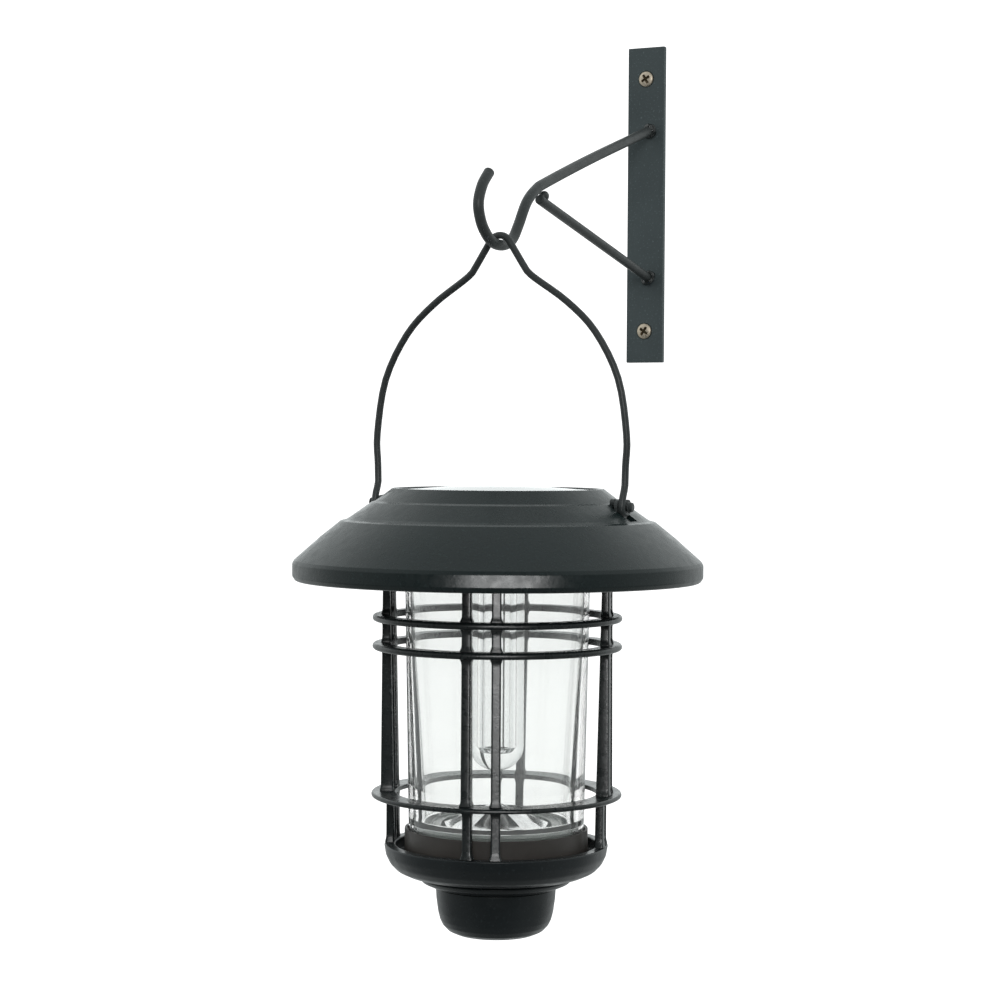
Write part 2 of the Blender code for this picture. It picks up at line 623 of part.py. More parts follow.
def build():
    handle_swing = joint("handle_swing", lantern(0, 0, HOOK_ROD_Z))
    head_tilt = joint("head_tilt", lantern(0, 0, PIVOT_Z), handle_swing)
    cage_twist = joint("cage_twist", lantern(0, 0, -180 * MM), head_tilt)
    switch_slide = joint("switch_slide", lantern(SWITCH_X, 0, -178 * MM), head_tilt)
    cover_slide = joint("cover_slide", lantern(CELL_X, 0, -179 * MM), head_tilt)
    bracket()
    handle(handle_swing)
    roof(head_tilt)
    lug("left_lug", -1, head_tilt)
    lug("right_lug", 1, head_tilt)
    pivot_screw("left_pivot_screw", -1, head_tilt)
    pivot_screw("right_pivot_screw", 1, head_tilt)
    solar_panel(head_tilt)
    module_housing(head_tilt)
    battery(head_tilt)
    electronics(head_tilt)
    lamp(head_tilt)
    leads(head_tilt)
    battery_cover(cover_slide)
    switch_slider(switch_slide)
    cage(cage_twist)
    glass(cage_twist)
    reflector(cage_twist)
    base(cage_twist)


build()
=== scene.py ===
"""Looks of the solar wall lantern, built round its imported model.

Units are metres, and +Z is up. The outlines of turned pieces are in millimetres: the distance
from the lantern's axis and the height above the origin, which is the wall plate's centre.
"""
import json
import math

import bmesh
import bpy
from mathutils import Matrix, Vector, noise

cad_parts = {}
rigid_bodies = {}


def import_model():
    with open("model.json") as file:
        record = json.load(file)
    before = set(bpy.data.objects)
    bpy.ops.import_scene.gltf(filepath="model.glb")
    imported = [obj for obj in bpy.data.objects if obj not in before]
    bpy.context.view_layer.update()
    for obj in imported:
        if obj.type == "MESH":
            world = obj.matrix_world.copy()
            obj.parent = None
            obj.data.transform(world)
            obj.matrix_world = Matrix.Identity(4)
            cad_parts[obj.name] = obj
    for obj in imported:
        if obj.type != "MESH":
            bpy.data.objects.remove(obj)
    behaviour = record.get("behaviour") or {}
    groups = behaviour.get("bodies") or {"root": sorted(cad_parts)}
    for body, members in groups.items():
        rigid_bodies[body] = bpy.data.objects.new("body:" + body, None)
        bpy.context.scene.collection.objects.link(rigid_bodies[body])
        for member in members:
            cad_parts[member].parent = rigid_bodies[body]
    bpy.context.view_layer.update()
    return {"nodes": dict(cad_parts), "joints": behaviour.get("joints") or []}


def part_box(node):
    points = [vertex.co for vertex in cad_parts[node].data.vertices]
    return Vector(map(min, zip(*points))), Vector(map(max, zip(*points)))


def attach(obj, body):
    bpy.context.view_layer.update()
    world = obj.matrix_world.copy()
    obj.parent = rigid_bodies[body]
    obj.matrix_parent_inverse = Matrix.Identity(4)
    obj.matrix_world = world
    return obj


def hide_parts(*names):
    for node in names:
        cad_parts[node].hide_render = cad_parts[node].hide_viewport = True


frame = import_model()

MM = 0.001
JOINTS = {joint["name"]: joint for joint in frame["joints"]}
AXIS = Vector(JOINTS["cage_twist"]["pos_m"])
AXIS.z = 0.0                          # the lantern's axis, at the origin's height
HOOK = Vector(JOINTS["handle_swing"]["pos_m"])
PIVOT_Z = JOINTS["head_tilt"]["pos_m"][2]
TO_AXIS = Matrix.Translation(AXIS)

# Steps round a turned piece
WIDE = 192
MEDIUM = 96
NARROW = 48

# Camera
CAMERA_AZIMUTH = math.radians(28.0)
CAMERA_DISTANCE = 1.095
CAMERA_Z = -0.1174
CAMERA_PITCH = math.radians(-1.53)
CAMERA_YAW = math.radians(0.0424)
CAMERA_ROLL = math.radians(0.35)
CAMERA_LENS = 87.48


# Materials

class Graph:
    """A node tree, with short calls for the nodes that this script uses."""

    def __init__(self, tree):
        self.tree = tree

    def new(self, kind, **settings):
        node = self.tree.nodes.new(kind)
        for key, value in settings.items():
            setattr(node, key, value)
        return node

    def link(self, source, target):
        self.tree.links.new(source, target)

    def ramp(self, value, low, high, start=0.0, end=1.0, **settings):
        """Takes low to high onto start to end, and holds still past them."""
        node = self.new("ShaderNodeMapRange", **settings)
        for socket, number in (("From Min", low), ("From Max", high),
                               ("To Min", start), ("To Max", end)):
            node.inputs[socket].default_value = number
        self.link(value, node.inputs["Value"])
        return node.outputs["Result"]

    def math(self, operation, first, second):
        """Each side is a number or an output."""
        node = self.new("ShaderNodeMath", operation=operation)
        for socket, value in zip(node.inputs, (first, second)):
            if isinstance(value, float):
                socket.default_value = value
            else:
                self.link(value, socket)
        return node.outputs["Value"]


class Nodes(Graph):
    """A new material's nodes, round its one shader. Textures follow the piece's own frame."""

    def __init__(self, name):
        self.material = bpy.data.materials.new(name)
        self.material.use_nodes = True
        super().__init__(self.material.node_tree)
        self.shader = self.tree.nodes["Principled BSDF"]
        self.place = self.new("ShaderNodeTexCoord").outputs["Object"]

    def set(self, **values):
        """Fixed values on the shader's own sockets, named with _ for a space."""
        for key, value in values.items():
            socket = self.shader.inputs[key.replace("_", " ")]
            socket.default_value = (*value, 1.0) if isinstance(value, tuple) else value

    def stretched(self, scale):
        mapping = self.new("ShaderNodeMapping")
        mapping.inputs["Scale"].default_value = scale
        self.link(self.place, mapping.inputs["Vector"])
        return mapping.outputs["Vector"]

    def noise(self, size, detail, vector=None):
        """Noise whose features are about size metres across."""
        node = self.new("ShaderNodeTexNoise")
        node.inputs["Scale"].default_value = 1.0 / size
        node.inputs["Detail"].default_value = detail
        node.inputs["Roughness"].default_value = 0.5
        self.link(vector or self.place, node.inputs["Vector"])
        return node.outputs["Fac"]

    def spots(self, size):
        """Round cells, 0 at each one's middle."""
        node = self.new("ShaderNodeTexVoronoi")
        node.inputs["Scale"].default_value = 1.0 / size
        self.link(self.place, node.inputs["Vector"])
        return node.outputs["Distance"]

    def mix(self, share, first, second):
        """Each side is a colour or an output."""
        node = self.new("ShaderNodeMix", data_type="RGBA")
        self.link(share, node.inputs["Factor"])
        sockets = [s for s in node.inputs if s.type == "RGBA"]
        for socket, value in zip(sockets, (first, second)):
            if isinstance(value, tuple):
                socket.default_value = (*value, 1.0)
            else:
                self.link(value, socket)
        return [s for s in node.outputs if s.type == "RGBA"][0]

    def color(self, value):
        self.link(value, self.shader.inputs["Base Color"])

    def roughness(self, value):
        self.link(value, self.shader.inputs["Roughness"])

    def bump(self, *layers):
        """Layers of (height, depth in metres), stacked."""
        normal = None
        for height, depth in layers:
            node = self.new("ShaderNodeBump")
            node.inputs["Strength"].default_value = 1.0
            node.inputs["Distance"].default_value = depth
            self.link(height, node.inputs["Height"])
            if normal is not None:
                self.link(normal, node.inputs["Normal"])
            normal = node.outputs["Normal"]
        self.link(normal, self.shader.inputs["Normal"])


def shade(color, factor):
    """A colour made darker or lighter, and no lighter than white."""
    return tuple(min(1.0, channel * factor) for channel in color)


def powder_coat(name, color, roughness, grain, specular=0.4):
    """Baked powder on steel: an even satin film with a fine sandy texture, grain metres deep."""
    nodes = Nodes(name)
    nodes.set(Specular_IOR_Level=specular)
    cloud = nodes.ramp(nodes.noise(0.035, 3), 0.3, 0.7)
    sand = nodes.noise(0.001, 1)
    tone = nodes.mix(cloud, shade(color, 0.9), shade(color, 1.12))
    fleck = nodes.ramp(sand, 0.62, 0.74)
    nodes.color(nodes.mix(fleck, tone, shade(color, 1.7)))
    nodes.roughness(nodes.ramp(nodes.noise(0.004, 3), 0.3, 0.7, roughness - 0.05,
                               roughness + 0.06))
    nodes.bump((nodes.noise(0.0035, 2), grain * 1.6), (sand, grain))
    return nodes.material


def moulded(name, color, roughness, grain=0.00002, size=0.0005):
    """Moulded plastic or rubber with a fine tool texture, grain deep and size across."""
    nodes = Nodes(name)
    nodes.set(Specular_IOR_Level=0.5)
    cloud = nodes.ramp(nodes.noise(0.012, 3), 0.3, 0.7)
    nodes.color(nodes.mix(cloud, shade(color, 0.88), shade(color, 1.12)))
    nodes.roughness(nodes.ramp(nodes.noise(0.003, 2), 0.3, 0.7, roughness - 0.06,
                               roughness + 0.06))
    nodes.bump((nodes.noise(size, 2), grain))
    return nodes.material


def metal(name, color, roughness, stretch=(1, 1, 1), scratch=0.00001, size=0.0006):
    """Bare or plated metal with fine tool marks, scratch deep and size across."""
    nodes = Nodes(name)
    nodes.set(Metallic=1.0)
    marks = nodes.noise(size, 3, nodes.stretched(stretch))
    nodes.color(nodes.mix(nodes.ramp(marks, 0.3, 0.7), shade(color, 0.86), shade(color, 1.06)))
    nodes.roughness(nodes.ramp(marks, 0.3, 0.7, roughness * 0.7, roughness * 1.4))
    nodes.bump((marks, scratch))
    return nodes.material


def clear(name, color, ior, wave, wave_size, clarity=1.0):
    """Glass or clear plastic in very slight waves, with a haze where clarity is below 1."""
    nodes = Nodes(name)
    nodes.set(Transmission_Weight=clarity, IOR=ior)
    waves = nodes.noise(wave_size, 1)
    nodes.color(nodes.mix(nodes.ramp(waves, 0.3, 0.7), color, shade(color, 0.985)))
    nodes.roughness(nodes.ramp(nodes.noise(0.006, 2), 0.45, 0.8, 0.0, 0.02))
    nodes.bump((waves, wave))
    return nodes.material


FINGER_PITCH = 0.0016
FINGER_SHARE = 0.14


def solar_cells(name):
    """Dark blue silicon with fine silver fingers across it."""
    nodes = Nodes(name)
    nodes.set(Specular_IOR_Level=0.6)
    position = nodes.new("ShaderNodeSeparateXYZ")
    nodes.link(nodes.place, position.inputs["Vector"])
    pitches = nodes.math("MULTIPLY", position.outputs["X"], 1 / FINGER_PITCH)
    finger = nodes.math("LESS_THAN", nodes.math("FRACT", pitches, 0.0), FINGER_SHARE)
    grains = nodes.ramp(nodes.spots(0.005), 0.1, 0.7)
    silicon = nodes.mix(grains, (0.006, 0.014, 0.05), (0.012, 0.03, 0.095))
    nodes.color(nodes.mix(finger, silicon, (0.35, 0.37, 0.4)))
    nodes.roughness(nodes.ramp(grains, 0.0, 1.0, 0.22, 0.34))
    nodes.bump((nodes.noise(0.0008, 2), 0.00001))
    return nodes.material


# name: (kind, settings)
FINISHES = {
    "roof_coat": (powder_coat, (0.011, 0.020, 0.0205), 0.28, 0.00003),
    "cage_coat": (powder_coat, (0.014, 0.019, 0.0195), 0.28, 0.00004, 0.45),
    "base_coat": (powder_coat, (0.016, 0.021, 0.023), 0.32, 0.00003),
    "plate_coat": (powder_coat, (0.1, 0.125, 0.13), 0.5, 0.00001, 0.3),
    "rod_coat": (powder_coat, (0.055, 0.062, 0.062), 0.42, 0.00003),
    "wire_coat": (powder_coat, (0.046, 0.052, 0.052), 0.38, 0.00004, 0.5),
    "weld_coat": (powder_coat, (0.014, 0.018, 0.018), 0.16, 0.00002, 0.8),
    "screw_metal": (metal, (0.9, 0.78, 0.62), 0.42, (1, 1, 1), 0.000006),
    # a dark metal painted into the floor of a screw's cross recess: painted shade, not the
    # screw's own colour
    "screw_recess": (metal, (0.1, 0.08, 0.05), 0.5, (1, 1, 1), 0.000006),
    "inner_steel": (metal, (0.6, 0.61, 0.62), 0.3, (1, 1, 6)),
    "cell_silver": (metal, (0.8, 0.81, 0.82), 0.35),
    "chrome": (metal, (0.92, 0.92, 0.93), 0.07, (1, 1, 1), 0.000004, 0.004),
    "clear_glass": (clear, (0.985, 1.0, 0.99), 1.47, 0.00003, 0.03, 0.92),
    "clear_plastic": (clear, (0.985, 0.99, 0.99), 1.49, 0.00004, 0.012),
    "panel_cover": (clear, (0.96, 0.98, 1.0), 1.5, 0.00002, 0.01),
    "solar_cell": (solar_cells,),
    "black_plastic": (moulded, (0.014, 0.015, 0.016), 0.45),
    "deck_plastic": (moulded, (0.35, 0.39, 0.37), 0.13),
    "brown_plastic": (moulded, (0.075, 0.067, 0.061), 0.45),
    "seal_rubber": (moulded, (0.03, 0.03, 0.03), 0.75, 0.00003, 0.0009),
    "board_green": (moulded, (0.015, 0.13, 0.045), 0.4, 0.00001, 0.0012),
    "cell_wrap": (moulded, (0.04, 0.26, 0.1), 0.32, 0.000006, 0.002),
    "red_lead": (moulded, (0.45, 0.02, 0.02), 0.45),
    "black_lead": (moulded, (0.018, 0.018, 0.018), 0.45),
    "led_resin": (moulded, (0.92, 0.8, 0.42), 0.15, 0.000004, 0.002),
}
MATERIALS = {name: kind(name, *settings) for name, (kind, *settings) in FINISHES.items()}


# Mesh helpers

SHARP = 38                            # degrees at which an edge is shaded sharp
STRAIGHT = math.radians(176)          # a corner wider than this is left alone


def arc(radius, start, end, steps, centre=(0.0, 0.0)):
    """Points on an arc between two angles in degrees."""
    angles = [math.radians(start + (end - start) * step / steps) for step in range(steps + 1)]
    return [(centre[0] + radius * math.cos(a), centre[1] + radius * math.sin(a)) for a in angles]


def fillet(before, corner, after, radius, segments):
    """The points that round one corner of an outline."""
    back = before - corner
    ahead = after - corner
    angle = back.angle(ahead)
    if angle > STRAIGHT:
        return [corner]
    cut = min(radius / math.tan(angle / 2), 0.48 * back.length, 0.48 * ahead.length)
    radius = cut * math.tan(angle / 2)
    middle = (back.normalized() + ahead.normalized()).normalized()
    centre = corner + middle * (radius / math.sin(angle / 2))
    first = corner + back.normalized() * cut - centre
    last = corner + ahead.normalized() * cut - centre
    sweep = first.angle(last)
    points = []
    for step in range(segments + 1):
        share = step / segments
        turned = first * math.sin((1 - share) * sweep) + last * math.sin(share * sweep)
        points.append(centre + turned / math.sin(sweep))
    return points


def rounded(outline, radius, segments=4):
    """A closed outline with every corner rounded. A point's third number is its own radius."""
    points = [Vector(point[:2]) for point in outline]
    result = []
    for index, point in enumerate(outline):
        own = point[2] if len(point) > 2 else radius
        if own <= 0 or (abs(point[0]) < 1e-6):
            result.append(points[index])
            continue
        after = points[(index + 1) % len(points)]
        result += fillet(points[index - 1], points[index], after, own, segments)
    return result


def placed(name, shape):
    """An object from a bmesh, which is used up."""
    bmesh.ops.recalc_face_normals(shape, faces=shape.faces)
    mesh = bpy.data.meshes.new(name)
    shape.to_mesh(mesh)
    shape.free()
    obj = bpy.data.objects.new(name, mesh)
    bpy.context.scene.collection.objects.link(obj)
    return obj


def smooth_shaded(mesh, sharp=SHARP):
    mesh.shade_smooth()
    mesh.set_sharp_from_angle(angle=math.radians(sharp))


def finished(name, shape, finish, body, nodes=(), sharp=SHARP):
    """A piece from a bmesh: shaded smooth but for sharp edges, finished and riding."""
    obj = placed(name, shape)
    mesh = obj.data
    smooth_shaded(mesh, sharp)
    mesh.materials.append(MATERIALS[finish])
    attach(obj, body)
    if nodes:
        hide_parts(*nodes)
    return obj


def child(obj, parent):
    """Hangs a small piece on the one it belongs to, without moving it."""
    obj.parent = parent
    obj.matrix_parent_inverse = Matrix.Identity(4)


def weighted(obj):
    """Normals that keep wide faces flat beside their rounded edges."""
    normals = obj.modifiers.new("Normals", "WEIGHTED_NORMAL")
    normals.keep_sharp = True
    return obj


def bands(shape, rows):
    """Faces between each row of vertices and the next, every row being a closed ring."""
    for first, second in zip(rows, rows[1:]):
        for step in range(len(first)):
            after = (step + 1) % len(first)
            corners = (first[step], first[after], second[after], second[step])
            unique = list(dict.fromkeys(corners))
            if len(unique) > 2:
                shape.faces.new(unique)


def stack(rows_of_points):
    """A closed shape with a cap at each end, through rings of points."""
    shape = bmesh.new()
    rows = [[shape.verts.new(point) for point in points] for points in rows_of_points]
    bands(shape, rows)
    shape.faces.new(rows[0])
    shape.faces.new(rows[-1])
    return shape


def around_ring(steps):
    """The angles of a ring's points."""
    return [math.tau * step / steps for step in range(steps)]


def turned_shape(outline, steps, matrix):
    """A closed outline of (radius, height) in mm, turned about Z."""
    shape = bmesh.new()
    columns = [(math.cos(angle), math.sin(angle)) for angle in around_ring(steps)]
    rows = []
    for radius, height in outline:
        if radius < 1e-4:
            rows.append([shape.verts.new((0, 0, height * MM))] * steps)
        else:
            rows.append([shape.verts.new((radius * MM * x, radius * MM * y, height * MM))
                         for x, y in columns])
    bands(shape, rows + rows[:1])
    shape.transform(matrix)
    return shape


def turned(name, profile, finish, body, nodes=(), steps=MEDIUM, rounding=0.3, at=TO_AXIS,
           segments=4):
    """A piece turned from a profile of (radius, height[, rounding]) in mm."""
    outline = rounded(profile, rounding, segments)
    shape = turned_shape(outline, steps, at)
    return weighted(finished(name, shape, finish, body, nodes))


def ring(name, inner, outer, top, bottom, finish, body, nodes, steps=MEDIUM, rounding=0.3):
    """A turned piece of rectangular section, in mm."""
    profile = [(inner, top), (outer, top), (outer, bottom), (inner, bottom)]
    return turned(name, profile, finish, body, nodes, steps, rounding)


def block_shape(size, centre, turn=0.0, bevel=0.0):
    """A box, turned about Z."""
    shape = bmesh.new()
    bmesh.ops.create_cube(shape, size=1.0)
    bmesh.ops.scale(shape, vec=size, verts=shape.verts)
    if bevel:
        bmesh.ops.bevel(shape, geom=shape.edges[:], offset=bevel, segments=3,
                        affect="EDGES", profile=0.5)
    shape.transform(Matrix.Translation(centre) @ Matrix.Rotation(turn, 4, "Z"))
    return shape


def cross_shape(reach, half_width, low, high):
    """A plus sign that stands on end, for a screw's recess."""
    outline = []
    for turn in range(4):
        angle = turn * math.pi / 2
        along = Vector((math.cos(angle), math.sin(angle)))
        across = Vector((-along.y, along.x))
        outline += [along * reach - across * half_width, along * reach + across * half_width,
                    (along + across) * half_width]
    return stack([[(point.x, point.y, height) for point in outline] for height in (low, high)])


def carve(obj, shapes, operation="DIFFERENCE"):
    """Cuts shapes from a piece, or joins them to it, and keeps the result as its mesh."""
    cutters = [placed("cutter", shape) for shape in shapes]
    obj.modifiers.clear()
    for cutter in cutters:
        boolean = obj.modifiers.new("Cut", "BOOLEAN")
        boolean.operation = operation
        boolean.object = cutter
    graph = bpy.context.evaluated_depsgraph_get()
    mesh = bpy.data.meshes.new_from_object(obj.evaluated_get(graph))
    obj.modifiers.clear()
    obj.data = mesh
    smooth_shaded(mesh)
    for cutter in cutters:
        bpy.data.objects.remove(cutter, do_unlink=True)
    return weighted(obj)


def smooth_route(points, samples):
    """Points along a Catmull-Rom curve through the given ones, ends included."""
    knots = [Vector(point) for point in points]
    knots = [2 * knots[0] - knots[1]] + knots + [2 * knots[-1] - knots[-2]]
    route = []
    for before, start, end, after in zip(knots, knots[1:], knots[2:], knots[3:]):
        for step in range(samples):
            t = step / samples
            route.append(0.5 * (2 * start + (end - before) * t
                                + (2 * before - 5 * start + 4 * end - after) * t ** 2
                                + (3 * start - before - 3 * end + after) * t ** 3))
    route.append(knots[-2])
    return route


CAP_STEPS = 4


def tube_rings(route, radius, edge):
    """(point, direction, side, radius) along a round bar, with its two ends rounded."""
    directions = []
    for index in range(len(route)):
        before = route[max(index - 1, 0)]
        after = route[min(index + 1, len(route) - 1)]
        directions.append((after - before).normalized())
    side = directions[0].orthogonal().normalized()
    rings = []
    for index, (point, direction) in enumerate(zip(route, directions)):
        if index:
            turn = directions[index - 1].rotation_difference(direction)
            side = (turn @ side).normalized()
        rings.append((point, direction, side.copy(), radius))
    quarter = [math.radians(90 * step / CAP_STEPS) for step in range(1, CAP_STEPS + 1)]

    def cap(end, inward, angles):
        point, direction, side, _ = end
        return [(point + inward * direction * edge * (1 - math.sin(a)), direction, side,
                 radius - edge * (1 - math.cos(a))) for a in angles]

    start = cap(rings[0], 1, quarter[::-1])
    end = cap(rings[-1], -1, quarter)
    rings[0] = (rings[0][0] + rings[0][1] * edge, *rings[0][1:])
    rings[-1] = (rings[-1][0] - rings[-1][1] * edge, *rings[-1][1:])
    return start + rings + end


def tube(name, route, radius, finish, body, nodes, sides, edge):
    """A round bar along a route, with edges of a given radius at its two ends."""
    rows = []
    for point, direction, side, reach in tube_rings(route, radius, edge):
        other = direction.cross(side)
        rows.append([point + reach * (side * math.cos(a) + other * math.sin(a))
                     for a in around_ring(sides)])
    finished(name, stack(rows), finish, body, nodes, sharp=50)


def lumpy(shape, depth, size, seed):
    """Pushes a shape's vertices in and out along their normals, for a weld's surface."""
    shape.normal_update()
    offset = Vector((seed * 7.3, seed * 3.1, seed * 5.7))
    moves = [(v, v.normal * depth * noise.noise(v.co / size + offset)) for v in shape.verts]
    for vert, move in moves:
        vert.co += move
    return shape


def keep(node, finish, bevel=0.0):
    """A CAD node that is shown as it is, with a better finish and softened edges."""
    obj = frame["nodes"][node]
    obj.data.materials.clear()
    obj.data.materials.append(MATERIALS[finish])
    if bevel:
        weld = obj.modifiers.new("Weld", "WELD")
        weld.merge_threshold = 0.000002
        edge = obj.modifiers.new("Edges", "BEVEL")
        edge.width = bevel
        edge.segments = 2
        edge.limit_method = "ANGLE"
        edge.angle_limit = math.radians(40)


# Bracket

ROD_RADIUS = 0.00248
BRACE_RADIUS = 0.00228
# (distance from the lantern's axis towards the wall, height) along the hook arm, in mm
ARM_ROUTE = [(162.3, 37.8), (94.4, 16.6), (46.4, 0.6), (35.3, -3.9), (26.0, -10.6),
             (18.2, -21.4), (12.8, -27.9), (6.8, -31.0), (0, -32.0), (-7.1, -31.1),
             (-13.5, -27.5), (-18.2, -22.2), (-20.3, -14.8), (-16.8, -6.6), (-10.2, 0.0)]
BRACE_ROUTE = [(162.4, -37.6), (38.4, -8.0)]
ARM_SLOPE = math.radians(17.0)
BRACE_SLOPE = math.radians(13.4)
BEAD_REACH = 160.4                    # mm from the lantern's axis to a weld on the plate
KNOB_PLACE = (43.4, -6.3)             # the weld at the brace's far end, as in a route
KNOB_RADIUS = 2.5 * MM


def beside_axis(along, up):
    """A point in the arm's plane."""
    return AXIS + Vector((0, along * MM, up * MM))


def wall_plate():
    low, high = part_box("wall_plate")
    shape = block_shape(high - low, (low + high) / 2, bevel=0.45 * MM)
    plate = weighted(finished("wall_plate_coated", shape, "plate_coat", "bracket",
                              ["wall_plate"]))
    hole = [(0, 4, 0), (4.4, 4), (4.4, 2.9), (2.4, 0.9), (2.4, -1), (0, -1, 0)]
    carve(plate, [turned_shape(rounded(hole, 0.05), NARROW, screw_place(node))
                  for node in ("upper_wall_screw", "lower_wall_screw")])


def screw_place(node):
    """Puts a shape turned about Z on a wall screw's axis, pointing out of the wall."""
    low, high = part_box(node)
    centre = (low + high) / 2
    return Matrix.Translation((centre.x, 0, centre.z)) @ Matrix.Rotation(math.pi / 2, 4, "X")


RECESS_REACH = 2.5 * MM
RECESS_HALF_WIDTH = 0.68 * MM
RECESS_FLOOR = 2.7 * MM


def wall_screw(node, spin):
    """A domed screw head with a cross recess, and its threaded shank."""
    profile = [(0, 4.0, 0), (2.2, 3.92, 1), (3.5, 3.6, 0.6), (3.9, 3.15, 0.3), (3.75, 2.6),
               (1.75, 0.7), (1.75, -1.2), (0, -1.2, 0)]
    place = screw_place(node)
    head = turned(node + "_head", profile, "screw_metal", "bracket", [node], 64, 0.2, place)
    recess = cross_shape(RECESS_REACH, RECESS_HALF_WIDTH, RECESS_FLOOR, 5.0 * MM)
    recess.transform(place @ Matrix.Rotation(math.radians(spin), 4, "Z"))
    carve(head, [recess])
    # The recess's floor and the foot of its walls get the dark metal: painted shade down in the
    # cross.
    head.data.materials.append(MATERIALS["screw_recess"])
    local = place.inverted()
    for face in head.data.polygons:
        middle = local @ face.center
        inside = middle.xy.length < RECESS_REACH
        if inside and RECESS_FLOOR - 0.1 * MM < middle.z < RECESS_FLOOR + 0.85 * MM:
            face.material_index = 1
    thread = threaded(1.15, 1.75, -1.0, -21.0, 1.7, place)
    child(finished(node + "_thread", thread, "screw_metal", "bracket"), head)


def threaded(core, crest, top, tip, pitch, matrix):
    """A wood screw's shank: one helical ridge on a core that narrows to the tip, in mm."""
    steps = 32
    rows_per_turn = 8
    point_radius = 0.05
    rows = []
    count = int((top - tip) / pitch * rows_per_turn)
    for row in range(count + 1):
        share = row / count
        height = top + (tip - top) * share
        narrow = min(1.0, (1 - share) * 4)        # the last quarter is the point
        points = []
        for angle in around_ring(steps):
            phase = (height / pitch + angle / math.tau) % 1.0
            ridge = max(0.0, 1 - abs(phase - 0.5) * 4)
            radius = (core + (crest - core) * ridge) * narrow + point_radius * (1 - narrow)
            points.append((radius * MM * math.cos(angle), radius * MM * math.sin(angle),
                           height * MM))
        rows.append(points)
    shape = stack(rows)
    shape.transform(matrix)
    return shape


def weld_bead(node, level, slope, seed):
    """An uneven bead round a rod where it meets the plate."""
    place = (Matrix.Translation(beside_axis(BEAD_REACH, level))
             @ Matrix.Rotation(math.pi / 2 + slope, 4, "X"))
    profile = [(2.2, 1.6), (3.0, 1.3), (3.5, 0.3), (3.6, -0.8), (2.9, -1.5), (2.2, -1.5)]
    shape = turned_shape(rounded(profile, 0.8), NARROW, place)
    finished(node + "_bead", lumpy(shape, 0.0009, 0.0022, seed), "weld_coat", "bracket", [node])


def bracket():
    wall_plate()
    wall_screw("upper_wall_screw", 30)
    wall_screw("lower_wall_screw", 55)
    arm = smooth_route([beside_axis(*point) for point in ARM_ROUTE], 10)
    tube("hook_arm_rod", arm, ROD_RADIUS, "rod_coat", "bracket", ["hook_arm"], 32, 0.0005)
    brace = [beside_axis(*point) for point in BRACE_ROUTE]
    brace = [brace[0].lerp(brace[1], step / 12) for step in range(13)]
    tube("arm_brace_rod", brace, BRACE_RADIUS, "rod_coat", "bracket", ["arm_brace"], 32, 0.0008)
    weld_bead("arm_weld", 37.2, ARM_SLOPE, 1)
    weld_bead("brace_weld", -37.1, -BRACE_SLOPE, 2)
    knob = bmesh.new()
    bmesh.ops.create_icosphere(knob, subdivisions=4, radius=KNOB_RADIUS)
    knob.transform(Matrix.Translation(beside_axis(*KNOB_PLACE)))
    finished("brace_end_bead", lumpy(knob, 0.0003, 0.003, 3), "rod_coat", "bracket",
             ["brace_end_weld"])


# Handle

WIRE_RADIUS = 0.0016
LOOP_RADIUS = 5.9 * MM                # to the wire's middle, as is EYE_RADIUS
# (distance from the axis, height) down one leg of the handle from its top loop, in mm
LEG_ROUTE = [(7.4, -34.2), (13.0, -42.7), (14.7, -44.7), (18.6, -47.7), (34.2, -58.2),
             (48.0, -71.6), (59.2, -92.2), (63.5, -117.0), (63.1, -131.0)]
EYE_X = 62.9 * MM
EYE_RADIUS = 3.05 * MM


def handle():
    """One wire: a loop over the hook, two legs, and an eye at each end on a pivot screw."""
    gap = 0.3 * MM
    loop_top = HOOK.z + ROD_RADIUS + gap + WIRE_RADIUS
    loop = arc(LOOP_RADIUS, 90, 33, 10, (0.0, loop_top - LOOP_RADIUS))
    half = [Vector((across, 0.0, up)) for across, up in loop]
    half += [Vector((across * MM, 0.0, up * MM)) for across, up in LEG_ROUTE]
    eye = [(0.0, 9.7 * MM), (-0.8 * MM, 7.2 * MM), (-2.0 * MM, 4.6 * MM)]
    eye += arc(EYE_RADIUS, 160, 410, 16)
    leg = smooth_route(half, 4) + smooth_route(
        [Vector((EYE_X, along, PIVOT_Z + up)) for along, up in eye], 2)
    route = [Vector((-p.x, p.y, p.z)) for p in reversed(leg)] + leg[1:]
    tube("handle_bent_wire", [AXIS + point for point in route], WIRE_RADIUS, "wire_coat",
         "handle", ["handle_wire"], 24, 0.0003)


# Head

ROOF_PROFILE = [
    (40.0, -146.0), (45.4, -146.0, 0.1), (45.4, -142.0, 0.1), (46.0, -141.4, 0.5),
    (47.7, -141.4, 0.6), (55.2, -147.1, 1.5), (57.2, -147.8, 1.2), (66.9, -154.6, 1.5),
    (68.4, -155.5, 1.0), (70.9, -156.1, 0.9), (80.0, -163.4, 8), (88.1, -170.6, 8),
    (91.7, -173.8, 1.2), (92.5, -175.3, 1.2), (92.5, -180.9, 1.5), (91.4, -182.6, 0.9),
    (90.5, -183.1, 0.4), (89.9, -182.5, 0.4), (90.8, -180.4, 0.8), (90.8, -176.2, 1.0),
    (86.9, -171.9, 3), (70.1, -158.0, 1.0), (65.8, -156.4, 1.0), (56.4, -149.8, 1.5),
    (54.4, -149.1, 1.0), (46.0, -149.1, 0.3), (46.0, -147.8, 0.3), (40.0, -147.8)]
# The slot in the roof for each lug: nearest and farthest from the axis, and half its width
LUG_SLOT = (58.0 * MM, 67.4 * MM, 4.2 * MM)


def around(radius, degrees, height=0.0):
    """A point at a radius from the lantern's axis, in a direction given from +X."""
    angle = math.radians(degrees)
    return AXIS + Vector((radius * math.cos(angle), radius * math.sin(angle), height))


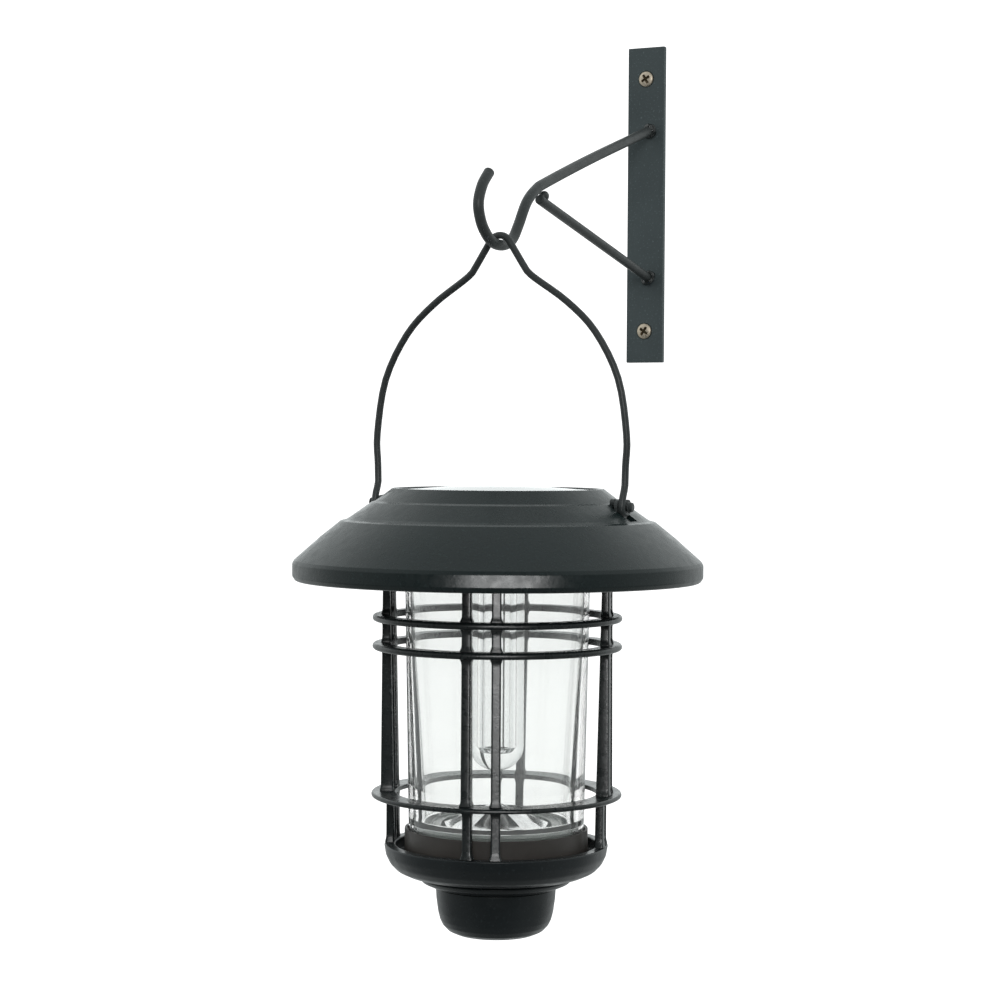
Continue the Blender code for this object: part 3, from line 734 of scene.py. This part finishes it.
def roof():
    shell = turned("roof_pressing", ROOF_PROFILE, "roof_coat", "head", ["roof_shell"], WIDE)
    start, end, half = LUG_SLOT
    slots = [block_shape((end - start, 2 * half, 20 * MM),
                         AXIS + Vector((side * (start + end) / 2, 0, -150 * MM)),
                         bevel=0.8 * MM) for side in (-1, 1)]
    carve(shell, slots)


def beside_head(side, reach, height):
    """Lays a shape turned about Z along X, pointing out of the head to one side."""
    return (Matrix.Translation(AXIS + Vector((side * reach * MM, 0, height)))
            @ Matrix.Rotation(side * math.pi / 2, 4, "Y"))


def pivot_screw(side, node):
    """A ridged head that carries the handle's eye."""
    profile = [(0, 7.0, 0), (1.3, 7.0, 0.3), (1.8, 6.8, 0.2), (2.15, 6.55), (1.75, 6.25),
               (2.3, 5.95), (1.85, 5.65), (2.5, 5.35), (2.5, 4.8, 0.2), (1.1, 4.8, 0),
               (1.1, -1.6), (0, -1.6, 0)]
    place = beside_head(side, 60.0, PIVOT_Z)
    turned(node + "_ridged", profile, "wire_coat", "head", [node], 40, 0.12, place, 3)


def lug_rivet(side, name):
    """The peened end that holds a lug, on the roof's shoulder just inside its slot."""
    profile = [(0, 1.5, 0), (1.1, 1.5, 0.5), (1.7, 0.7, 0.4), (1.7, -1.5, 0.3), (0, -1.5, 0)]
    place = beside_head(side, 57.7, PIVOT_Z + 1.9 * MM)
    turned(name, profile, "wire_coat", "head", (), 32, 0.2, place, 3)


STRIPS = 6                            # of solar cell
STRIP_PITCH = 12.2 * MM
STRIP_WIDTH = 11.6 * MM
STRIP_REACH = 38.4 * MM               # from the panel's middle to where the strips are cut off
STRIP_LEVEL = -145.45 * MM
STRIP_THICKNESS = 0.25 * MM


def solar_panel():
    cover = [(0, -140.2, 0), (12.0, -140.35, 20), (24.0, -140.8, 20), (36.0, -141.7, 20),
             (44.0, -142.0, 1.0), (45.1, -142.3, 0.3), (45.1, -144.7, 0.2), (0, -144.7, 0)]
    turned("panel_window", cover, "panel_cover", "head", ["solar_cover"], WIDE)
    board = [(0, -145.5, 0), (39.4, -145.5), (39.4, -146.4), (0, -146.4, 0)]
    backing = turned("panel_board", board, "black_plastic", "head", ["solar_board"], MEDIUM, 0.1)
    for number in range(STRIPS):
        middle = (number - (STRIPS - 1) / 2) * STRIP_PITCH
        solar_strip(f"solar_strip_{number + 1}", middle, backing)


def solar_strip(name, middle, backing):
    """One cell, cut to the round board, with two silver bars along it."""
    edges = (middle - STRIP_WIDTH / 2, middle + STRIP_WIDTH / 2)
    steps = 8
    across = [edges[0] + (edges[1] - edges[0]) * step / steps for step in range(steps + 1)]
    upper = [Vector((x, math.sqrt(STRIP_REACH ** 2 - x ** 2), 0)) for x in across]
    lower = [Vector((x, -math.sqrt(STRIP_REACH ** 2 - x ** 2), 0)) for x in reversed(across)]
    shape = bmesh.new()
    face = shape.faces.new([shape.verts.new(p) for p in upper + lower])
    grown = bmesh.ops.extrude_face_region(shape, geom=[face])
    top = [v for v in grown["geom"] if isinstance(v, bmesh.types.BMVert)]
    bmesh.ops.translate(shape, vec=(0, 0, STRIP_THICKNESS), verts=top)
    shape.transform(Matrix.Translation(AXIS + Vector((0, 0, STRIP_LEVEL))))
    child(finished(name, shape, "solar_cell", "head"), backing)
    for number, share in enumerate((-0.25, 0.25), 1):
        x = middle + share * STRIP_WIDTH
        reach = math.sqrt(STRIP_REACH ** 2 - x ** 2) - 1.5 * MM
        level = STRIP_LEVEL + STRIP_THICKNESS + 0.05 * MM
        bar = block_shape((0.9 * MM, 2 * reach, 0.1 * MM), AXIS + Vector((x, 0, level)),
                          bevel=0.03 * MM)
        child(finished(f"{name}_bar_{number}", bar, "cell_silver", "head"), backing)


LOCK_ANGLES = (90, 210, 330)
HOUSING_FLOOR = -178.6                # the height of its underside, in mm
CELL_X = 25.5 * MM
SWITCH_X = -27.0 * MM


def module_housing():
    top = HOUSING_FLOOR + 1.8
    profile = [(42.7, -148.1), (44.5, -148.1), (44.5, top, 0.6), (59.5, top, 0.8),
               (59.5, -184.0, 0.6), (57.2, -184.0, 0.5), (57.2, HOUSING_FLOOR, 0.5),
               (15.0, HOUSING_FLOOR, 0.4), (15.0, top, 0.4), (42.7, top, 0.4)]
    housing = turned("module_case", profile, "black_plastic", "head", ["module_housing"], WIDE)
    added = []
    for angle in LOCK_ANGLES:
        turn = math.radians(angle)
        screw_tab = block_shape((10.4 * MM, 8 * MM, 2.5 * MM),
                                around(48.8 * MM, angle, -150.7 * MM), turn)
        lock_ledge = block_shape((4.0 * MM, 16 * MM, 2.0 * MM),
                                 around(56.2 * MM, angle, -183.0 * MM), turn)
        added += [screw_tab, lock_ledge]
    for side in (-1, 1):
        added.append(block_shape((12.6 * MM, 1.6 * MM, 12 * MM),
                                 AXIS + Vector((CELL_X, side * 19.2 * MM, -171 * MM))))
    carve(housing, added, "UNION")
    level = HOUSING_FLOOR * MM
    carve(housing, [
        block_shape((12 * MM, 36 * MM, 6 * MM), AXIS + Vector((CELL_X, 0, level))),
        block_shape((3.4 * MM, 7.4 * MM, 6 * MM), AXIS + Vector((SWITCH_X, 0, level)))])


def lamp():
    bore = 6.0
    bore_end = -261.0
    outside = 12.2
    shoulder = -258.5
    end_depth = 10.8
    guide = [(0, bore_end, 0), (4.4, bore_end + 0.6, 2), (bore, bore_end + 2.2, 1.5),
             (bore, -170.0), (13.9, -170.0), (13.9, -171.7), (outside, -171.7),
             (outside, shoulder, 2)]
    guide += [(outside * math.cos(a), shoulder - end_depth * math.sin(a), 0)
              for a in (math.radians(7.5 * k) for k in range(1, 12))]
    guide.append((0, shoulder - end_depth, 0))
    turned("lamp_light_guide", guide, "clear_plastic", "head", ["lamp_tube"])
    socket = [(12.6, -172.0), (14.6, -172.0), (14.6, -178.9), (17.4, -178.9), (17.4, -180.3),
              (17.0, -180.7), (12.6, -180.7)]
    turned("lamp_holder", socket, "black_plastic", "head", ["lamp_socket"])
    led = [(0, -170.0, 0), (2.9, -170.0), (2.9, -171.0), (2.5, -171.0), (2.5, -176.2, 1.2),
           (1.8, -178.0, 1.0), (0, -178.7, 0)]
    turned("led_lens", led, "led_resin", "head", ["led_emitter"], NARROW)


# The CAD nodes that are shown as they are: (finish, bevel in metres)
KEPT = {
    "left_lug": ("rod_coat", 0.0003), "right_lug": ("rod_coat", 0.0003),
    "housing_screw_1": ("inner_steel",), "housing_screw_2": ("inner_steel",),
    "housing_screw_3": ("inner_steel",), "board_screw_1": ("inner_steel",),
    "board_screw_2": ("inner_steel",), "battery_cell": ("cell_wrap", 0.0002),
    "battery_contact": ("inner_steel", 0.0001), "battery_spring": ("inner_steel",),
    "circuit_board": ("board_green", 0.0001), "switch_body": ("inner_steel", 0.0003),
    "led_board": ("board_green", 0.0001), "panel_lead_red": ("red_lead",),
    "lamp_lead_red": ("red_lead",), "panel_lead_black": ("black_lead",),
    "lamp_lead_black": ("black_lead",), "battery_cover": ("black_plastic", 0.0003),
    "switch_slider": ("black_plastic", 0.0003),
}


def head():
    roof()
    for node, settings in KEPT.items():
        keep(node, *settings)
    pivot_screw(-1, "left_pivot_screw")
    pivot_screw(1, "right_pivot_screw")
    lug_rivet(-1, "left_lug_rivet")
    lug_rivet(1, "right_lug_rivet")
    solar_panel()
    ring("panel_seal", 40.6, 44.8, -145.0, -145.7, "seal_rubber", "head", ["panel_gasket"])
    module_housing()
    lamp()


# Cage and base

RINGS = {                             # name: (height, half height, inner radius, outer radius)
    "upper_cage_ring": (-199.6, 1.5, 49.5, 56.3),
    "middle_cage_ring": (-212.4, 1.5, 48.6, 56.3),
    "lower_cage_ring": (-279.2, 1.05, 45.5, 56.5),
}
POST_WIDTH = 4.15                     # in mm
# (height, inner radius, outer radius) down a post, in mm
POST_STATIONS = [(-183.7, 48.5, 51.8), (-277.9, 46.4, 52.3), (-280.5, 46.3, 49.7),
                 (-301.4, 46.0, 49.7)]
POST_TURN = math.radians(20.2)        # from +X to the first pair's middle
POST_SPREAD = math.radians(7.4)       # from a pair's middle to each of its posts


def post_angles():
    for pair in range(4):
        for side in (-1, 1):
            yield POST_TURN + pair * math.pi / 2 + side * POST_SPREAD


def post_size(height):
    """A post's inner and outer radius at a height, in mm."""
    for (top, *first), (bottom, *second) in zip(POST_STATIONS, POST_STATIONS[1:]):
        if height >= bottom:
            share = (top - height) / (top - bottom)
            return [a + (b - a) * share for a, b in zip(first, second)]
    return POST_STATIONS[-1][1:]


RING_WELD = 1.3                       # how far up and down a post a weld reaches, in mm
FOOT_WELD = 1.6
WELD_WIDENS = 0.75                    # by how much on each side, in mm
WELD_THICKENS = 0.5                   # by how much on the outside, in mm


def flare(height):
    """How much a post swells at a ring, where the weld fills the corner, and at its foot."""
    swell = 0.0
    for level, half, _, _ in RINGS.values():
        beyond = max(0.0, abs(height - level) - half)
        swell = max(swell, math.exp(-(beyond / RING_WELD) ** 2))
    foot = max(0.0, height - POST_STATIONS[-1][0])
    return max(swell, math.exp(-(foot / FOOT_WELD) ** 2))


def post_shape(angle):
    """A flat bar with rounded edges, on end, at an angle round the lantern's axis."""
    rows = []
    top = POST_STATIONS[0][0]
    bottom = POST_STATIONS[-1][0]
    count = 150
    for row in range(count + 1):
        height = top + (bottom - top) * row / count
        inner, outer = post_size(height)
        grow = flare(height)
        half = POST_WIDTH / 2 + WELD_WIDENS * grow
        outer += WELD_THICKENS * grow
        outline = [(inner, -half), (outer, -half), (outer, half), (inner, half)]
        section = rounded(outline, 0.8, 5)
        rows.append([(x * MM, y * MM, height * MM) for x, y in section])
    shape = stack(rows)
    shape.transform(TO_AXIS @ Matrix.Rotation(angle, 4, "Z"))
    return shape


def cage():
    top = ring("cage_crown", 42.4, 53.5, -179.0, -183.4, "cage_coat", "cage",
               ["cage_top_ring"], WIDE, 0.6)
    carve(top, [block_shape((4.4 * MM, 14 * MM, 2 * MM), around(53.7 * MM, angle, -180.7 * MM),
                            math.radians(angle), 0.3 * MM) for angle in LOCK_ANGLES], "UNION")
    for number, angle in enumerate(post_angles(), 1):
        finished(f"cage_bar_{number}", post_shape(angle), "cage_coat", "cage",
                 [f"cage_post_{number}"])
    for node, (level, half, inner, outer) in RINGS.items():
        profile = [(inner, level + half, 0.5), (outer, level + half, half * 0.95),
                   (outer, level - half, half * 0.95), (inner, level - half, 0.5)]
        turned(node + "_band", profile, "cage_coat", "cage", [node], WIDE, 0.5, TO_AXIS, 6)


def glass():
    chimney = [(39.0, -184.0), (41.8, -184.0), (39.6, -296.2), (36.6, -296.2, 0.4),
               (36.6, -292.2, 0.4), (33.0, -290.4, 0.8), (33.0, -288.0, 4), (36.0, -240.0, 30),
               (38.0, -212.0, 30)]
    turned("glass_chimney", chimney, "clear_glass", "cage", ["glass_cylinder"], WIDE, 1.2)
    ring("glass_upper_seal", 38.4, 42.0, -179.0, -183.7, "seal_rubber", "cage",
         ["glass_top_seal"], MEDIUM, 0.5)
    ring("glass_lower_seal", 36.6, 39.6, -296.5, -297.3, "seal_rubber", "cage",
         ["glass_base_seal"], MEDIUM, 0.2)
    collar = [(40.1, -294.5, 0.4), (41.4, -294.5, 0.4), (41.4, -306.5), (36.2, -306.5),
              (36.2, -297.6), (40.1, -297.6)]
    turned("glass_holder", collar, "brown_plastic", "cage", ["glass_collar"], WIDE)


FACETS = 12
FACET_TURN = math.radians(28.0)       # from +X to a fold between two facets
APEX_RADIUS = 1.2 * MM
RIM_HEIGHT = 0.7 * MM
HOLLOWNESS = 1.08                     # 1 would be a straight cone


def reflector():
    """A faceted cone of bright sheet, thin and open below, with a turned-down rim."""
    low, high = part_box("reflector")
    rim = (high.x - low.x) / 2
    rise = high.z - low.z - RIM_HEIGHT
    steps = 20
    stations = []
    for step in range(steps + 1):
        share = step / steps
        stations.append((APEX_RADIUS + (rim - APEX_RADIUS) * share,
                         low.z + RIM_HEIGHT + rise * (1 - share) ** HOLLOWNESS))
    stations.append((rim + 0.25 * MM, low.z))
    shape = bmesh.new()
    rows = [[shape.verts.new((radius * math.cos(a + FACET_TURN),
                              radius * math.sin(a + FACET_TURN), height))
             for a in around_ring(FACETS)] for radius, height in stations]
    bands(shape, rows)
    shape.faces.new(rows[0])
    shape.transform(TO_AXIS)
    cone = finished("reflector_facets", shape, "chrome", "cage", ["reflector"],
                    sharp=3)
    skin = cone.modifiers.new("Skin", "SOLIDIFY")
    skin.thickness = 0.5 * MM
    skin.offset = -1.0


def base():
    reflector()
    deck = [(24.9, -292.6), (28.8, -292.6, 0.3), (29.2, -292.0, 0.2), (30.0, -292.0, 0.2),
            (30.4, -292.6, 0.3), (35.9, -292.6, 0.4), (35.9, -294.2), (35.2, -294.2),
            (35.2, -313.5), (33.6, -313.5), (33.6, -294.2), (24.9, -294.2)]
    turned("reflector_seat", deck, "deck_plastic", "cage", ["reflector_deck"], WIDE)
    bowl = [(45.6, -301.7, 0.6), (50.2, -301.7, 0.5), (50.5, -302.3, 0.4), (49.8, -306.5, 6),
            (48.0, -310.2, 6), (45.1, -313.2, 5), (41.2, -315.0, 5), (37.0, -315.8, 2),
            (34.4, -316.1, 0.2), (2.6, -316.1, 0), (2.6, -313.8, 0), (36.0, -313.8),
            (36.0, -306.8), (45.6, -306.8)]
    turned("bowl_pressing", bowl, "base_coat", "cage", ["base_bowl"], WIDE)
    step = [(2.6, -316.4, 0), (34.2, -316.4, 0.2), (34.8, -317.2, 0.5), (33.4, -318.9, 1.5),
            (29.4, -320.7, 2), (28.0, -321.1, 0.3), (2.6, -321.1, 0)]
    turned("step_ring", step, "base_coat", "cage", ["base_step"], WIDE)
    cup = [(0, -340.0, 0), (2.4, -340.0), (2.4, -322.2), (4.7, -322.2), (4.7, -340.6),
           (15.6, -340.6, 2), (20.4, -338.4, 3), (22.9, -335.4, 2), (24.2, -332.0, 3),
           (25.4, -321.4), (27.2, -321.4, 0.4), (26.9, -326.5, 8), (26.1, -332.3, 6),
           (25.2, -335.9, 4), (24.0, -338.4, 3), (21.6, -340.9, 3), (18.2, -342.4, 3),
           (15.0, -342.9, 3), (0, -343.0, 0)]
    turned("cup_pressing", cup, "base_coat", "cage", ["base_cup"], WIDE, 0.3, TO_AXIS, 5)
    screw = [(0, -311.0, 0), (3.4, -311.0, 0.5), (4.0, -311.8), (4.0, -313.5), (1.9, -313.5),
             (1.9, -338.2), (0, -339.2, 0)]
    turned("base_clamp_screw", screw, "inner_steel", "cage", ["base_screw"], NARROW, 0.2)


# Stage

TOWARDS = Vector((math.sin(CAMERA_AZIMUTH), -math.cos(CAMERA_AZIMUTH), 0))
ASIDE = Vector((math.cos(CAMERA_AZIMUTH), math.sin(CAMERA_AZIMUTH), 0))
UP = Vector((0, 0, 1))
# Soft light from one direction each: (direction, cosine where it starts, cosine where it is
# full, strength)
GLOWS = [
    (TOWARDS + 0.3 * UP, 0.80, 0.97, 0.4),
    (-TOWARDS, 0.15, 0.85, 0.7),
    (ASIDE + 0.9 * UP - 0.2 * TOWARDS, 0.35, 0.95, 0.6),
    (-ASIDE + 0.9 * UP - 0.2 * TOWARDS, 0.35, 0.95, 0.6),
    (ASIDE - 0.1 * UP, 0.3, 0.95, 0.24),
    (-ASIDE - 0.1 * UP, 0.3, 0.95, 0.2),
    (UP, 0.2, 1.0, 0.12),
    (-UP, 0.1, 0.9, 0.2),
    (-TOWARDS + 0.12 * UP, 0.93, 0.99, 0.9),
]
EVEN_GLOW = 0.03
GLOW_COLOR = (0.77, 0.81, 0.81, 1)
BACKDROP_STRENGTH = 1.33
# What glass shows: the backdrop in full behind the object, and this much of it elsewhere
BACKDROP_ELSEWHERE = 0.6


def world():
    """White behind the object, and soft light that is weaker in front and below."""
    sky = bpy.data.worlds.new("studio")
    bpy.context.scene.world = sky
    sky.use_nodes = True
    sky.node_tree.nodes.clear()
    graph = Graph(sky.node_tree)
    way = graph.new("ShaderNodeNewGeometry").outputs["Incoming"]

    def glow(direction, start, full, strength, least=0.0):
        dot = graph.new("ShaderNodeVectorMath", operation="DOT_PRODUCT")
        graph.link(way, dot.inputs[0])
        dot.inputs[1].default_value = -direction.normalized()
        return graph.ramp(dot.outputs["Value"], start, full, least, strength,
                          interpolation_type="SMOOTHSTEP")

    total = EVEN_GLOW
    for settings in GLOWS:
        total = graph.math("ADD", total, glow(*settings))
    soft = graph.new("ShaderNodeBackground")
    soft.inputs["Color"].default_value = GLOW_COLOR
    graph.link(total, soft.inputs["Strength"])
    white = graph.new("ShaderNodeBackground")
    white.inputs["Color"].default_value = (1, 1, 1, 1)
    white.inputs["Strength"].default_value = BACKDROP_STRENGTH
    path = graph.new("ShaderNodeLightPath")
    through_glass = graph.math("MULTIPLY", path.outputs["Is Transmission Ray"],
                               glow(-TOWARDS, 0.72, 0.86, 1.0, BACKDROP_ELSEWHERE))
    mix = graph.new("ShaderNodeMixShader")
    graph.link(graph.math("MAXIMUM", path.outputs["Is Camera Ray"], through_glass),
               mix.inputs["Fac"])
    graph.link(soft.outputs["Background"], mix.inputs[1])
    graph.link(white.outputs["Background"], mix.inputs[2])
    output = graph.new("ShaderNodeOutputWorld")
    graph.link(mix.outputs["Shader"], output.inputs["Surface"])


LIGHT_DISTANCE = 1.6
LIT_LEVEL = -0.2                      # the height that the lights face


def soft_light(name, azimuth, height, size, power):
    """An area light that faces the lantern, at an azimuth measured from the camera's."""
    data = bpy.data.lights.new(name, "AREA")
    data.shape = "RECTANGLE"
    data.size, data.size_y = size
    data.energy = power
    light = bpy.data.objects.new(name, data)
    bpy.context.scene.collection.objects.link(light)
    angle = CAMERA_AZIMUTH + math.radians(azimuth)
    target = AXIS + Vector((0, 0, LIT_LEVEL))
    light.location = AXIS + Vector((math.sin(angle) * LIGHT_DISTANCE,
                                    -math.cos(angle) * LIGHT_DISTANCE, height))
    light.rotation_mode = "QUATERNION"
    light.rotation_quaternion = (target - light.location).to_track_quat("-Z", "Y")
    light.visible_camera = False
    light.visible_transmission = False
    return light


FLOOR_LEVEL = -1.25
FLOOR_REACH = 2.4


def floor():
    """A pale floor, well below the object, that the object's surfaces don't mirror."""
    shape = bmesh.new()
    bmesh.ops.create_grid(shape, x_segments=8, y_segments=8, size=FLOOR_REACH)
    shape.transform(Matrix.Translation(AXIS + Vector((0, 0, FLOOR_LEVEL))))
    obj = placed("floor", shape)
    nodes = Nodes("floor_paper")
    nodes.color(nodes.mix(nodes.noise(0.3, 2), (0.86, 0.86, 0.86), (0.9, 0.9, 0.9)))
    nodes.roughness(nodes.ramp(nodes.noise(0.1, 2), 0.3, 0.7, 0.8, 0.9))
    nodes.bump((nodes.noise(0.01, 2), 0.0001))
    obj.data.materials.append(nodes.material)
    obj.visible_glossy = False
    obj.visible_diffuse = False


def camera():
    """A camera at its azimuth round the lantern, yawed, pitched and rolled a little."""
    level = Vector((-math.sin(CAMERA_AZIMUTH - CAMERA_YAW),
                    math.cos(CAMERA_AZIMUTH - CAMERA_YAW), 0))
    right = Vector((level.y, -level.x, 0))
    forward = level * math.cos(CAMERA_PITCH) + UP * math.sin(CAMERA_PITCH)
    above = UP * math.cos(CAMERA_PITCH) - level * math.sin(CAMERA_PITCH)
    across = right * math.cos(CAMERA_ROLL) + above * math.sin(CAMERA_ROLL)
    above = above * math.cos(CAMERA_ROLL) - right * math.sin(CAMERA_ROLL)
    turn = Matrix((across, above, -forward)).transposed()
    place = AXIS + TOWARDS * CAMERA_DISTANCE
    place.z = CAMERA_Z
    data = bpy.data.cameras.new("camera")
    data.lens = CAMERA_LENS
    data.sensor_width = 36.0
    data.clip_start = 0.05
    data.clip_end = 20.0
    obj = bpy.data.objects.new("camera", data)
    bpy.context.scene.collection.objects.link(obj)
    obj.matrix_world = Matrix.Translation(place) @ turn.to_4x4()
    bpy.context.scene.camera = obj


SHADED_POST = "cage_bar_6"            # the outer left one, which the strip leaves dark


def strip_light():
    """A low strip that glints only on the roof and on the cage, but for one post."""
    strip = soft_light("front_strip", 3, -0.24, (1.2, 0.26), 15)
    strip.visible_diffuse = False
    lit = bpy.data.collections.new("lit_by_the_strip")
    for obj in bpy.context.scene.objects:
        if obj.type == "MESH" and obj.name != SHADED_POST \
                and obj.active_material.name in ("roof_coat", "cage_coat"):
            lit.objects.link(obj)
    strip.light_linking.receiver_collection = lit


def studio():
    bpy.context.scene.view_settings.view_transform = "Standard"
    world()
    soft_light("front_softbox", 0, 0.3, (0.5, 0.5), 5)
    strip_light()
    floor()
    camera()


bracket()
handle()
head()
cage()
glass()
base()
studio()
